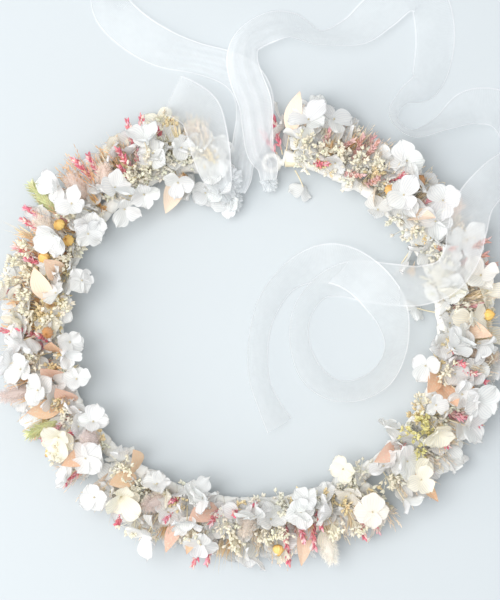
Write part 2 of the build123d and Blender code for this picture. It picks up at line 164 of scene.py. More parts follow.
class Batch:
    """Many small shapes that become one mesh, with a colour and a place on the shape at each point."""

    def __init__(self):
        self.points, self.quads, self.paints, self.places, self.count = [], [], [], [], 0

    def add(self, points, quads, paint, places):
        points = np.asarray(points, float).reshape(-1, 3)
        self.points.append(points)
        self.quads.append(np.asarray(quads, int) + self.count)
        self.paints.append(np.broadcast_to(np.asarray(paint, float), (len(points), 3)))
        self.places.append(np.asarray(places, float).reshape(-1, 3))
        self.count += len(points)

    def build(self, name, material):
        """The mesh object, in metres. A quad with a repeated corner becomes a triangle."""
        quads = np.concatenate(self.quads)
        faces = [q if q[2] != q[3] else q[:3] for q in quads.tolist()]
        mesh = bpy.data.meshes.new(name)
        points = np.concatenate(self.points)
        points[:, 2] = np.maximum(points[:, 2], LOWEST + LOWEST_RIPPLE * np.sin(points[:, 0]))
        mesh.from_pydata((points * MM).tolist(), [], faces)
        paints = np.hstack([np.concatenate(self.paints), np.ones((len(points), 1))])
        paint = mesh.attributes.new("paint", "FLOAT_COLOR", "POINT")
        paint.data.foreach_set("color", paints.astype(np.float32).ravel())
        place = mesh.attributes.new("place", "FLOAT_VECTOR", "POINT")
        place.data.foreach_set("vector", np.concatenate(self.places).astype(np.float32).ravel())
        mesh.polygons.foreach_set("use_smooth", [True] * len(mesh.polygons))
        mesh.materials.append(material)
        mesh.update()
        return linked(name, mesh)


def along_line(points):
    """How far along a line of points each of them is."""
    return np.concatenate([[0], np.cumsum(np.linalg.norm(np.diff(points, axis=0), axis=1))])


def grid_quads(rows, columns, closed=False):
    """The quads of a grid of points, row by row; closed joins the last column to the first."""
    last = columns if closed else columns - 1
    r, c = np.meshgrid(np.arange(rows - 1), np.arange(last), indexing="ij")
    a = (r * columns + c).ravel()
    b = (r * columns + (c + 1) % columns).ravel()
    return np.stack([a, b, b + columns, a + columns], axis=1)


def places_over(*values):
    """The three values stored at each point of a grid, spread over the whole grid."""
    return np.stack(np.broadcast_arrays(*values), axis=-1)


def add_grid(batch, origin, axes, local, paint, u, v, closed=False):
    """A grid of points, given as x, y and z along the axes, with one random value for the shape."""
    points = places_over(*local).reshape(-1, 3)
    places = np.stack([np.repeat(u, len(v)), np.tile(v, len(u)), np.full(len(points), RNG.random())], axis=1)
    batch.add(origin + points @ axes.T, grid_quads(len(u), len(v), closed), paint, places)


def tube(batch, line, radii, paint, sides):
    """A tube along a line of points, with a radius at each."""
    line = np.asarray(line, float)
    heading = unit(np.gradient(line, axis=0))
    helper = np.array([0.31, 0.17, 0.93])
    x = unit(np.cross(heading, helper))
    y = np.cross(heading, x)
    turn = np.linspace(0, tau, sides, endpoint=False)
    ring = x[:, None] * np.cos(turn)[None, :, None] + y[:, None] * np.sin(turn)[None, :, None]
    points = line[:, None] + ring * np.asarray(radii, float)[:, None, None]
    along = np.linspace(0, 1, len(line))[:, None]
    places = places_over(along, turn[None] / tau, 0 * along)
    batch.add(points, grid_quads(len(line), sides, True), paint, places)


def pod_outline(t):
    """A pod's radius along its axis, as a share of the widest: round below and drawn in above."""
    return np.sin(pi * t**0.85) ** 0.75 * (1 - 0.25 * t)


def seed_shape(batch, place, axes, radius, length, paint, around, rings, ridges=0, depth=0.0):
    """A small pod standing along its axis: round below, and drawn to a point above."""
    t = np.linspace(0, 1, rings)
    outline = pod_outline(t)
    outline[0] = 0.25
    outline[-1] = 0.04
    turn = np.linspace(0, tau, around, endpoint=False)
    wobble = 1 + depth * np.cos(ridges * turn)
    x = outline[:, None] * np.cos(turn) * wobble * radius
    y = outline[:, None] * np.sin(turn) * wobble * radius
    add_grid(batch, place, axes, (x, y, t[:, None] * length), paint, t, turn / tau, True)


def blade(batch, place, axes, length, width, paint, bend, fold, rows, columns, widest=0.4):
    """A narrow pointed blade along its axis, folded along the middle and bent towards its first side."""
    u = np.linspace(0, 1, rows)
    half = width / 2 * np.where(u < widest, np.sin(pi / 2 * (0.15 + 0.85 * u / widest)),
                                np.cos(pi / 2 * (u - widest) / (1 - widest)) ** 0.9)
    half = np.maximum(half, width * 0.01)
    v = np.linspace(-1, 1, columns)
    x = bend * u[:, None] ** 2 * length + fold * np.abs(v) * half[:, None]
    z = u[:, None] * length * (1 - 0.3 * bend**2)
    add_grid(batch, place, axes, (x, half[:, None] * v, z), paint, u, v)


def petal(batch, centre, axes, length, width, paint, rise, cup, notch=0.0):
    """One broad rounded petal, leaving the centre along the first axis, with a wavy rim."""
    u = np.sin(pi / 2 * np.linspace(0.0, 1.0, PETAL_POINTS))
    v = np.linspace(-1, 1, PETAL_POINTS)
    out = u[:, None]
    half = width / 2 * np.maximum(np.sin(pi * np.clip(0.05 + 0.945 * u**1.35, 0, 1)), 0) ** 0.5
    half = half[:, None]
    wave = between(0, tau, 3)
    rim = np.sin(2.7 * v + wave[0]) * 1.1 + np.sin(5.3 * v + wave[1]) * 0.75 + np.sin(9 * v + wave[2]) * 0.3
    reach = length * (out - notch * out**4 * (1 - np.abs(v)) ** 1.5 - 0.10 * (v**2) * out)
    reach = reach * (1 + 0.035 * out**3 * np.sin(6.5 * v + wave[1]))
    lift = np.tan(rise) * reach * (1 - 0.35 * out) + cup * half * v**2 * 0.45 + out**2 * rim * 0.75
    lift = lift + 0.55 * np.sin(5 * out + wave[2]) * (1 - np.abs(v)) * out
    shade = np.asarray(paint)[None] * (0.985 + 0.015 * np.repeat(u, len(v))[:, None])
    add_grid(batch, centre, axes, (reach, half * v, lift), shade, u, v)


# ---- materials

def new_material(name):
    """A material with a Principled shader, and its node tree."""
    material = bpy.data.materials.new(name)
    material.use_nodes = True
    tree = material.node_tree
    return material, tree, tree.nodes["Principled BSDF"], tree.nodes["Material Output"]


def node(tree, kind, **settings):
    made = tree.nodes.new(kind)
    for key, value in settings.items():
        setattr(made, key, value)
    return made


def feed(tree, sockets, *values):
    """Gives each socket a number, a colour, or another node's output."""
    for socket, value in zip(sockets, values):
        if isinstance(value, bpy.types.NodeSocket):
            tree.links.new(value, socket)
        else:
            socket.default_value = (*value, 1.0) if isinstance(value, tuple) else value


def feed_named(tree, shader, values):
    """Feeds the shader's inputs by their names."""
    feed(tree, [shader.inputs[name] for name in values], *values.values())


def math_node(operation, a, b=0.0, clamp=False):
    """A Math node in the first input's tree. The second is a socket or a number."""
    made = node(a.id_data, "ShaderNodeMath", operation=operation, use_clamp=clamp)
    feed(a.id_data, made.inputs, a, b)
    return made.outputs[0]


def times(a, b, clamp=False):
    return math_node("MULTIPLY", a, b, clamp)


def plus(a, b, clamp=False):
    return math_node("ADD", a, b, clamp)


def slope(value, start, steepness):
    """Nothing up to the start, then rising at this steepness to one."""
    return times(math_node("SUBTRACT", value, start), steepness, True)


def mix(tree, factor, a, b, blend="MIX"):
    """A Mix node for colours; each input is a socket or a colour."""
    made = node(tree, "ShaderNodeMix", data_type="RGBA", blend_type=blend)
    feed(tree, [made.inputs[n] for n in (0, 6, 7)], factor, a, b)
    return made.outputs[2]


def mix_shaders(tree, factor, a, b):
    made = node(tree, "ShaderNodeMixShader")
    feed(tree, made.inputs, factor, a, b)
    return made.outputs[0]


def lit_through(tree, shader, colour, share):
    """The shader, with this share of it as light that comes through from behind."""
    through = node(tree, "ShaderNodeBsdfTranslucent")
    tree.links.new(colour, through.inputs["Color"])
    return mix_shaders(tree, share, shader.outputs[0], through.outputs[0])


def place_sockets(tree):
    """The along, across and random values stored at each point."""
    place = node(tree, "ShaderNodeAttribute", attribute_name="place")
    split = node(tree, "ShaderNodeSeparateXYZ")
    tree.links.new(place.outputs["Vector"], split.inputs[0])
    return split.outputs


def paint_socket(tree):
    return node(tree, "ShaderNodeAttribute", attribute_name="paint").outputs["Color"]


def noise_socket(tree, scale, detail=3.0):
    """Noise over the object's own coordinates, in features per metre."""
    noise = node(tree, "ShaderNodeTexNoise")
    coordinates = node(tree, "ShaderNodeTexCoord").outputs["Object"]
    feed_named(tree, noise, {"Vector": coordinates, "Scale": scale, "Detail": detail})
    return noise.outputs["Fac"]


def add_bump(tree, shader, height, strength, distance):
    bump = node(tree, "ShaderNodeBump")
    feed_named(tree, bump, {"Strength": strength, "Distance": distance, "Height": height})
    tree.links.new(bump.outputs["Normal"], shader.inputs["Normal"])


def plant_material(name, veins, vein_shade, mottle, translucency, roughness=0.6, tip=None, fleck=None,
                   bump=0.35):
    """Dried plant: painted colour with veins along it, mottling, a tip colour, and light coming through."""
    material, tree, shader, output = new_material(name)
    along, across, random = place_sockets(tree)
    colour = paint_socket(tree)
    noise = noise_socket(tree, mottle[0])
    fine = noise_socket(tree, mottle[0] * 6, 2.0)
    shaded = mix(tree, 1.0, colour, (0.95, 0.94, 0.92), "MULTIPLY")
    colour = mix(tree, slope(noise, 0.35, mottle[1] * 3), colour, shaded)
    bent = plus(times(across, veins), times(noise, 2.6))
    line = math_node("POWER", math_node("ABSOLUTE", math_node("SINE", bent)), 6.0)
    colour = mix(tree, times(line, vein_shade[1], True), colour, vein_shade[0])
    if tip:
        share = times(math_node("POWER", along, tip[1]), plus(random, 0.25), True)
        colour = mix(tree, times(share, tip[2], True), colour, tip[0])
    if fleck:
        spots = slope(fine, fleck[1], 9.0)
        colour = mix(tree, times(spots, fleck[2], True), colour, fleck[0])
    feed_named(tree, shader, {"Base Color": colour, "Roughness": roughness, "Specular IOR Level": 0.3})
    add_bump(tree, shader, plus(line, fine), bump, 0.0003)
    tree.links.new(lit_through(tree, shader, colour, translucency), output.inputs["Surface"])
    return material


def organza_material(name, density):
    """Sheer woven ribbon: a see-through middle, closer bright edges, fine threads, and creases."""
    material, tree, shader, output = new_material(name)
    along, across, layers = place_sockets(tree)
    satin = slope(math_node("ABSOLUTE", across), 0.92, 50.0)
    threads = math_node("SINE", times(along, 9000.0))
    warp = math_node("SINE", times(across, 150.0))
    weave = times(plus(threads, warp), 0.015)
    cloud = times(math_node("SUBTRACT", noise_socket(tree, 60.0), 0.5), 0.25)
    alpha = plus(plus(weave, cloud), density)
    alpha = plus(alpha, times(layers, 0.5))
    alpha = plus(alpha, times(satin, 0.20), True)
    colour = mix(tree, satin, rgb(250, 252, 253), rgb(254, 254, 255))
    feed_named(tree, shader, {"Base Color": colour, "Roughness": 0.42, "Sheen Weight": 0.35,
                              "Specular IOR Level": 0.45})
    add_bump(tree, shader, plus(threads, warp), 0.05, 0.0001)
    cloth = lit_through(tree, shader, colour, 0.45)
    clear = node(tree, "ShaderNodeBsdfTransparent").outputs[0]
    tree.links.new(mix_shaders(tree, alpha, clear, cloth), output.inputs["Surface"])
    return material


def plain_material(name, colour, roughness, scale, shade, bump, metallic=0.0):
    """A dull surface with soft mottling and a fine grain."""
    material, tree, shader, _ = new_material(name)
    colour = mix(tree, noise_socket(tree, scale), colour, shade)
    feed_named(tree, shader, {"Base Color": colour, "Roughness": roughness, "Metallic": metallic})
    add_bump(tree, shader, noise_socket(tree, scale * 5), bump, 0.0003)
    return material


def tape_material():
    """Crepe tape, wound so that each turn's edge shows as a soft line of painted shade."""
    material, tree, shader, _ = new_material("crepe_tape")
    along, across, _ = place_sockets(tree)
    turn = math_node("FRACT", plus(along, across))
    # Painted shade: a darker line along each turn's raised edge, where the tape steps down to the next turn.
    edge = math_node("POWER", turn, 14.0)
    colour = mix(tree, edge, rgb(238, 237, 233), rgb(196, 190, 178))
    worn = times(noise_socket(tree, 90.0), 0.5)
    colour = mix(tree, worn, colour, rgb(222, 217, 205))
    feed_named(tree, shader, {"Base Color": colour, "Roughness": 0.75, "Sheen Weight": 0.15})
    add_bump(tree, shader, noise_socket(tree, 1400.0, 2.0), 0.5, 0.0004)
    return material


WHITE = rgb(245, 245, 243)
CREAM = rgb(254, 249, 232)
STRAW = rgb(254, 245, 222)
PEACH = rgb(254, 232, 212)
ORANGE = rgb(253, 210, 166)
CORAL = rgb(251, 196, 178)
CRIMSON = rgb(226, 98, 120)
PINK = rgb(246, 170, 182)
DUSTY = rgb(226, 184, 178)
BROWN = rgb(190, 138, 96)
GREEN = rgb(232, 234, 184)

MATERIALS = {
    "hydrangea_florets": plant_material(
        "dried_petals", 13, (rgb(206, 210, 216), 0.36), (120, 0.3), 0.36, 0.5, bump=0.3),
    "ruscus_leaves": plant_material(
        "dried_leaf", 13, (rgb(252, 218, 190), 0.3), (160, 0.2), 0.22, 0.5,
        tip=(rgb(251, 196, 160), 7, 0.6), fleck=(rgb(253, 236, 214), 0.54, 0.6)),
    "heather_sprigs": plant_material(
        "heather", 4, (rgb(200, 84, 104), 0.2), (400, 0.3), 0.18,
        fleck=(rgb(250, 208, 204), 0.58, 0.6)),
    "broom_clusters": plant_material(
        "broom_bloom", 3, (rgb(253, 248, 234), 0.2), (300, 0.1), 0.42,
        tip=(rgb(252, 238, 210), 5, 0.25)),
    "oat_spikelets": plant_material(
        "oat_husk", 9, (rgb(244, 224, 184), 0.35), (200, 0.2), 0.42, 0.45,
        tip=(rgb(236, 200, 150), 4, 0.5)),
    "bunny_tails": plant_material(
        "soft_hairs", 2, (rgb(220, 190, 170), 0.1), (150, 0.2), 0.28, 0.7),
    "berry_buds": plant_material(
        "dry_bud", 5, (rgb(226, 160, 80), 0.3), (300, 0.5), 0.12, 0.4,
        tip=(rgb(206, 140, 70), 4, 0.7)),
    "feather_grasses": plant_material(
        "feather_grass", 3, (rgb(242, 216, 182), 0.3), (150, 0.2), 0.28, 0.55,
        tip=(rgb(236, 190, 150), 4, 0.4)),
    "phalaris_heads": plant_material(
        "phalaris_scales", 6, (rgb(246, 244, 214), 0.5), (300, 0.2), 0.22, 0.5),
}
STALKS = plant_material("dry_stalk", 5, (rgb(234, 214, 176), 0.4), (200, 0.3), 0.15)
ORGANZA = organza_material("sheer_organza", 0.33)
GATHERED = organza_material("gathered_organza", 0.62)
TAPE = tape_material()
WIRE = plain_material("zinc_wire", rgb(150, 152, 155), 0.35, 300.0, rgb(120, 122, 126), 0.2, 1.0)
BOUND = plain_material("bound_stems", rgb(238, 230, 208), 0.7, 400.0, rgb(214, 198, 160), 0.4)


# ---- reading the CAD flowers

def islands(obj):
    """The separate solids of a CAD node, as point sets in millimetres."""
    mesh = obj.data
    points = np.empty(len(mesh.vertices) * 3)
    mesh.vertices.foreach_get("co", points)
    points = points.reshape(-1, 3) / MM
    _, same = np.unique(np.round(points, 2), axis=0, return_inverse=True)
    edges = np.empty(len(mesh.edges) * 2, int)
    mesh.edges.foreach_get("vertices", edges)
    edges = same.ravel()[edges].reshape(-1, 2)
    label = np.arange(same.max() + 1)
    while True:
        low = np.minimum(label[edges[:, 0]], label[edges[:, 1]])
        before = label.copy()
        np.minimum.at(label, edges[:, 0], low)
        np.minimum.at(label, edges[:, 1], low)
        label = label[label]
        if (label == before).all():
            break
    label = label[same.ravel()]
    return [points[label == one] for one in np.unique(label)]


CORE_SAMPLES = np.array([core_point(a) for a in np.arange(-257, 104, 0.5)])


def stem_and_tip(points):
    """The foot of a CAD flower's stem and the middle of its far end."""
    near = ((points[:, None] - CORE_SAMPLES[None]) ** 2).sum(2).min(1)
    foot = points[near.argmin()]
    tip = points[((points - foot) ** 2).sum(1).argmax()]
    for _ in range(4):
        axis = unit(tip - foot)
        reach = (points - foot) @ axis
        tip = points[reach > reach.max() - 0.6].mean(0)
        foot = points[reach < reach.min() + 0.4].mean(0)
    return foot, tip


def angle_of(point):
    """The angle round the crown, in degrees from 0 to 360."""
    return np.degrees(np.arctan2(point[1] / HALF_DEPTH, point[0] / HALF_WIDTH)) % 360


def gap_between(a, b):
    """The smaller turn between two angles, in degrees."""
    return abs((a - b + 180) % 360 - 180)


def near_a_flex(angle, reach):
    return min(abs(angle % 360 - flex) for flex in FLEX_ANGLES.values()) < reach


def pick(angle, table, default, reach=3.0):
    """The entry of a table of (angle, value) that is nearest to this angle, if it is near enough."""
    gap, value = min(((gap_between(angle, at), value) for at, value in table), key=lambda entry: entry[0])
    return value if gap < reach else default


# What a leaf's pale colour is multiplied by.
WARM = np.array([1.0, 0.93, 0.86])
LEAF_COLOURS = [
    (79, rgb(253, 206, 176)), (37.5, PEACH), (1, rgb(240, 206, 178)), (52.5, rgb(246, 232, 208)),
    (106, CREAM), (160.5, rgb(252, 218, 188)), (170.5, rgb(252, 206, 184)), (193, CORAL),
    (204.5, rgb(252, 204, 160)), (202, CORAL), (186, rgb(232, 172, 130)), (222, rgb(232, 176, 138)),
    (233.5, ORANGE), (258, ORANGE), (284, rgb(244, 210, 182)), (253.5, CORAL), (257, CORAL),
    (315.5, CORAL), (317, rgb(232, 172, 122)), (342, rgb(252, 190, 152)), (343.5, ORANGE),
]
TAIL_COLOURS = [
    (356.5, rgb(226, 194, 168)), (35, rgb(242, 208, 184)), (133.5, rgb(250, 220, 200)),
    (142, rgb(250, 222, 204)), (155.5, rgb(242, 226, 208)), (200, rgb(216, 190, 180)),
    (216, rgb(226, 204, 196)), (244.5, rgb(228, 204, 196)), (270.5, rgb(234, 214, 194)),
    (292, rgb(250, 242, 224)),
]
BUD_COLOURS = [
    (7, rgb(253, 206, 104)), (50.5, rgb(252, 200, 120)), (155, rgb(253, 208, 112)),
    (164.5, rgb(252, 200, 112)), (216, rgb(252, 208, 130)), (280, rgb(252, 208, 118)),
    (346, rgb(236, 164, 96)), (339.2, rgb(240, 176, 110)), (15.5, BROWN), (45.5, BROWN), (181.5, BROWN),
]
# Where the heather is dusty, not crimson: the middle of the stretch and half its span, in degrees.
DUSTY_HEATHER = [(60, 5), (66, 3), (27.5, 2), (20, 5)]
DUSTY_BELLS = [DUSTY, rgb(226, 180, 170), rgb(206, 150, 130)]
CRIMSON_BELLS = [CRIMSON, PINK, rgb(232, 124, 132), rgb(252, 222, 212)]
MIXED_BELLS = [DUSTY, PINK, rgb(236, 190, 180)]


def pale(paint, share):
    """The colour, washed out towards white."""
    return np.asarray(paint) ** share


def tinted(paint, amount=0.06):
    """The colour, a little lighter or darker."""
    return np.asarray(paint) * (1 + between(-amount, amount)) * (1 + between(-amount, amount, 3) * 0.4)


# ---- the flowers

BATCHES = {}
SPRIG_LENGTH = 17.0
TAIL_LENGTH = 16.5
TAIL_HAIRS = 1300
PHALARIS_LENGTH = 19.0
PHALARIS_SCALES = 150
THIN_STALK = 0.3

# Bells and scales each turn this far past the last, in radians, so that they don't line up.
SPIRAL_TURN = 2.4


def batches(kind, body):
    """The mesh in the making for this kind of flower on this body."""
    return BATCHES.setdefault((kind, body), Batch())


def stalk(body, foot, end, radius=0.42):
    """A thin dry stalk with a slight bend."""
    middle = (foot + end) / 2 + between(-0.6, 0.6, 3)
    t = np.linspace(0, 1, 6)[:, None]
    line = foot * (1 - t) ** 2 + middle * 2 * t * (1 - t) + end * t**2
    tube(batches("stalks", body), line, np.linspace(radius, radius * 0.7, 6), tinted(rgb(246, 236, 210)), 5)


def make_floret(batch, centre, normal, size, paint, count=4):
    """A hydrangea floret: broad overlapping petals round a tiny eye."""
    axes = rolled(normal)
    open_by = between(0.0, 0.75)
    for n in range(count):
        faced = turned(axes, n * tau / count + between(-0.3, 0.3))
        length = size * between(0.86, 1.08)
        rise = open_by + between(-0.4, 0.55)
        petal(batch, centre + axes[:, 2] * (0.25 * (n % 2)), faced, length, length * between(0.98, 1.2),
              tinted(paint, 0.02), rise, between(0.25, 0.9), between(0.0, 0.10))
    for _ in range(5):
        spread = axes @ np.array([between(-0.5, 0.5), between(-0.5, 0.5), 1.2])
        seed_shape(batch, centre + spread * 0.4, axes, 0.45, 0.9, rgb(236, 224, 186), 5, 4)


def make_leaf(batch, foot, tip, width, paint, normal):
    """A pointed dried leaf from its foot to its tip, facing along the normal."""
    length = np.linalg.norm(tip - foot)
    z = (tip - foot) / length
    x = unit(normal - z * (normal @ z))
    axes = np.stack([x, np.cross(z, x), z], axis=1)
    blade(batch, foot, axes, length, width, paint, between(-0.12, 0.12), between(0.12, 0.35), 16, 9, 0.42)


def make_heather(batch, foot, tip, colours):
    """A sprig set closely with small bells that point up along it."""
    along = unit(tip - foot)
    length = min(np.linalg.norm(tip - foot), SPRIG_LENGTH)
    base = tip - along * length
    tube(batch, [base, (base + tip) / 2 + between(-0.3, 0.3, 3), tip], [0.4, 0.35, 0.2], DUSTY, 5)
    count = int(length * 1.9)
    for n in range(count):
        share = 0.12 + 0.88 * n / count
        turn = n * SPIRAL_TURN + between(-0.3, 0.3)
        lean = between(0.35, 1.0) * (1.2 - share * 0.5)
        direction = unit(along + axes_along(along, turn)[:, 0] * lean)
        paint = tinted(pale(colours[RNG.integers(len(colours))], 0.75), 0.15)
        seed_shape(batch, base + along * length * share, axes_along(direction, turn), between(0.55, 0.85),
                   between(2.6, 4.2), paint, 6, 6)


def make_broom(batch, foot, tip, paint, count=17, spread=0.62, length=9.5):
    """A tuft of fine branching stalks, each ending in small pointed scales."""
    along = unit(tip - foot)
    base = tip - along * min(length * 0.8, np.linalg.norm(tip - foot))
    for _ in range(count):
        side = rolled(along)[:, 0]
        direction = unit(along + side * abs(RNG.normal(0, spread)))
        end = base + direction * length * between(0.55, 1.0)
        colour = tinted(paint, 0.05)
        tube(batch, [base, (base + end) / 2 + between(-0.3, 0.3, 3), end], [0.2, 0.16, 0.13], colour, 4)
        for _ in range(3):
            out = rolled(swayed(direction, 0.42))
            seed_shape(batch, end - direction * 0.5, out, between(0.6, 0.95), between(1.8, 3.0), colour, 5, 4)


def make_oat(batch, foot, tip, paint):
    """Spikelets of folded husks with fine awns."""
    along = unit(tip - foot)
    length = min(np.linalg.norm(tip - foot), SPRIG_LENGTH)
    base = tip - along * length
    for _ in range(3):
        side = rolled(along)[:, 0]
        direction = unit(along + side * between(0.04, 0.26))
        start = base + along * between(0, 0.25) * length
        for half_turn in (0.0, pi):
            husk = axes_along(direction, between(0, 0.5) + half_turn)
            blade(batch, start, husk, length * between(0.6, 0.85), between(2.2, 3.0), tinted(paint, 0.08),
                  between(0.05, 0.16), 0.55, 8, 5, 0.38)
        awn = axes_along(direction, 1.0)
        blade(batch, start, awn, length * between(1.0, 1.25), 0.22, tinted(paint), 0.1, 0, 5, 2)


def make_tail(batch, foot, tip, paint):
    """A bunny tail: an egg of fine hairs that lean towards its tip."""
    along = unit(tip - foot)
    base = tip - along * TAIL_LENGTH
    # Painted shade: the egg under the hairs is painted 5 % darker than the tail's colour, as shade among the
    # hairs.
    seed_shape(batch, base, axes_along(along), 3.3, TAIL_LENGTH, np.asarray(paint) * 0.95, 18, 12)
    for _ in range(TAIL_HAIRS):
        share = between(0.02, 0.97)
        side = rolled(along)[:, 0]
        start = base + along * TAIL_LENGTH * share + side * 3.7 * pod_outline(share) * 0.9
        hair = rolled(swayed(along * between(0.8, 1.6) + side, 0.15))
        blade(batch, start, hair, between(2.4, 4.6), 0.14, tinted(paint, 0.09) * between(0.98, 1.18),
              0.12, 0, 3, 2, 0.2)


def make_bud(batch, foot, tip, paint):
    """A round ribbed bud held by small scales, with a dry crown at its top."""
    along = unit(tip - foot)
    base = tip - along * 6.4
    seed_shape(batch, base, axes_along(along), 3.3, 6.2, paint, 40, 14, 10, 0.07)
    for n in range(9):
        side = axes_along(along, n * tau / 9)[:, 0]
        scale = axes_along(unit(along * 0.7 + side))
        blade(batch, base + side, scale, 3.0, 1.5, tinted(rgb(222, 196, 130)), -0.25, 0.2, 5, 3)
    for n in range(8):
        side = axes_along(along, n * tau / 8)[:, 0]
        point = axes_along(unit(along + side * 0.6))
        blade(batch, base + along * 5.4, point, 1.8, 0.6, tinted(BROWN), 0, 0.1, 4, 2)


def make_feather(batch, foot, tip, paint):
    """A spray of very thin grass with tiny husks along it."""
    along = unit(tip - foot)
    length = np.linalg.norm(tip - foot)
    base = foot + along * length * 0.25
    for _ in range(7):
        direction = swayed(along, 0.17)
        reach = length * 0.75 * between(0.75, 1.1)
        end = base + direction * reach
        middle = (base + end) / 2 + between(-0.5, 0.5, 3)
        tube(batch, [base, middle, end], [0.16, 0.13, 0.08], tinted(paint), 4)
        for share in np.linspace(0.45, 1.0, 6):
            husk = rolled(swayed(direction, 0.35))
            blade(batch, base + direction * reach * share, husk, between(1.8, 3.2), 0.6, tinted(paint, 0.1),
                  0.1, 0.4, 4, 3)


def make_phalaris(batch, foot, tip):
    """A green head of close overlapping scales."""
    along = unit(tip - foot)
    base = tip - along * PHALARIS_LENGTH
    # Painted shade: the core under the scales is painted 15 % darker than the green, as shade between the
    # scales.
    seed_shape(batch, base, axes_along(along), 3.0, PHALARIS_LENGTH, np.asarray(GREEN) * 0.85, 16, 12)
    for n in range(PHALARIS_SCALES):
        share = 0.03 + 0.92 * n / PHALARIS_SCALES
        side = axes_along(along, n * SPIRAL_TURN)[:, 0]
        start = base + along * PHALARIS_LENGTH * share + side * 2.9 * pod_outline(share) * 0.85
        direction = unit(along * 1.2 + side * between(0.7, 1.1))
        scale = np.stack([-side, np.cross(direction, -side), direction], axis=1)
        blade(batch, start, scale, between(4.0, 5.6), 1.3, tinted(GREEN, 0.12), 0.05, 0.5, 5, 3)


BODIES = frame["record"]["behaviour"]["bodies"]
BODY = {name: body for body, names in BODIES.items() for name in names}
PETAL_TINTS = [
    (343, rgb(240, 236, 244)), (335, rgb(242, 238, 245)), (303, rgb(250, 244, 234)),
    (17, rgb(252, 249, 241)), (176.5, rgb(252, 247, 236)), (190, rgb(252, 249, 243)),
    (84, rgb(252, 249, 243)),
]


# The stretch of the left arm where the husks and grasses are yellow and peach, in degrees.
WARM_STRETCH = (128, 222)
YELLOW_BROOM = (324, 338)
WARM_GRASS = rgb(254, 216, 172)
PALE_GRASS = rgb(253, 240, 220)

# One leaf is broader than the rest: its angle and its width.
BROAD_LEAF = (79, 14.0)
LEAF_LIFT = 6.0

# A floret this near a flex, in degrees, is no larger than this and has no loose petal.
FLORET_CLEARANCE = 5
SMALL_FLORET = 7.8

# How far below the tip each kind's stalk ends.
STALK_ENDS = {
    "hydrangea_florets": 1.5, "ruscus_leaves": 16, "heather_sprigs": 12, "broom_clusters": 7,
    "oat_spikelets": 13, "bunny_tails": 15, "berry_buds": 6, "phalaris_heads": 17,
}


def within(angle, stretch):
    return stretch[0] < angle < stretch[1]


def plant_floret(batch, angle, along, tip):
    """A floret, with a loose petal under it where there is room."""
    normal = swayed(along * 0.8 + UP * (0.1 if tip[2] < 12 else 0.4), 0.5)
    paint = pick(angle, PETAL_TINTS, WHITE if RNG.random() < 0.88 else CREAM, 1.2)
    inside = (tip - core_point(angle)) @ outward(angle) < 2
    size = between(7.2, 8.8) if inside else between(8.6, 11.6)
    by_flex = near_a_flex(angle, FLORET_CLEARANCE)
    size = min(size, SMALL_FLORET) if by_flex else size
    make_floret(batch, tip - along * 1.6, normal, size, paint, 4 if RNG.random() < 0.8 else 3)
    if not inside and not by_flex:
        loose = rolled(swayed(normal, 0.6))
        petal(batch, tip - along * 5, loose, between(9, 11.5), between(8, 11), tinted(paint, 0.02),
              0.25, 0.8)


def plant_leaf(batch, angle, along, tip):
    """A leaf that rises above the line of its stem."""
    paint = pale(pick(angle, LEAF_COLOURS, PEACH), 0.6) * WARM
    lift = UP * LEAF_LIFT
    width = BROAD_LEAF[1] if abs(angle - BROAD_LEAF[0]) < 2 else between(9.0, 11.5)
    make_leaf(batch, tip - along * 20 + lift * 0.6, tip + along * 2.0 + lift, width, tinted(paint, 0.03),
              swayed(UP, 0.35))


def plant(kind, body, foot, tip):
    """One detailed flower in the place of a plain CAD flower."""
    angle = angle_of(tip)
    batch = batches(kind, body)
    along = unit(tip - foot)
    if kind in STALK_ENDS:
        stalk(body, foot, tip - along * STALK_ENDS[kind])
    if kind == "hydrangea_florets":
        plant_floret(batch, angle, along, tip)
    elif kind == "ruscus_leaves":
        plant_leaf(batch, angle, along, tip)
    elif kind == "heather_sprigs":
        dusty = any(gap_between(angle, at) < reach for at, reach in DUSTY_HEATHER)
        make_heather(batch, foot, tip, DUSTY_BELLS if dusty else CRIMSON_BELLS)
    elif kind == "broom_clusters":
        paint = rgb(246, 240, 180) if within(angle, YELLOW_BROOM) else rgb(255, 251, 236)
        make_broom(batch, foot, tip, paint)
    elif kind == "oat_spikelets":
        make_oat(batch, foot, tip, STRAW if RNG.random() < 0.6 else rgb(248, 220, 180))
    elif kind == "bunny_tails":
        make_tail(batch, foot, tip, pale(pick(angle, TAIL_COLOURS, rgb(240, 208, 184), 6.0), 0.45))
    elif kind == "berry_buds":
        make_bud(batch, foot, tip, pale(pick(angle, BUD_COLOURS, rgb(240, 186, 74), 4.0), 0.8))
    elif kind == "feather_grasses":
        paint = rgb(254, 214, 170) if within(angle, WARM_STRETCH) else rgb(250, 234, 214)
        make_feather(batch, foot, tip, paint)
    elif kind == "phalaris_heads":
        make_phalaris(batch, foot, tip)


def plant_all():
    for name in sorted(frame["nodes"]):
        kind = name.rsplit("_", 1)[0]
        if kind in MATERIALS:
            for points in islands(frame["nodes"][name]):
                foot, tip = stem_and_tip(points)
                plant(kind, BODY[name], foot, tip)


# Where the wound tape shows along the inside: the middle of the stretch and half its span, in degrees.
BARE_TAPE = [(235, 8), (266, 7), (347, 4), (443, 4)]

# Extra florets gathered round the knot at the left end.
END_FLORETS = [
    (-27, 69, 10), (-19.5, 69, 17), (-14, 63.5, 9), (-24, 79, 19), (-19, 80, 19),
]

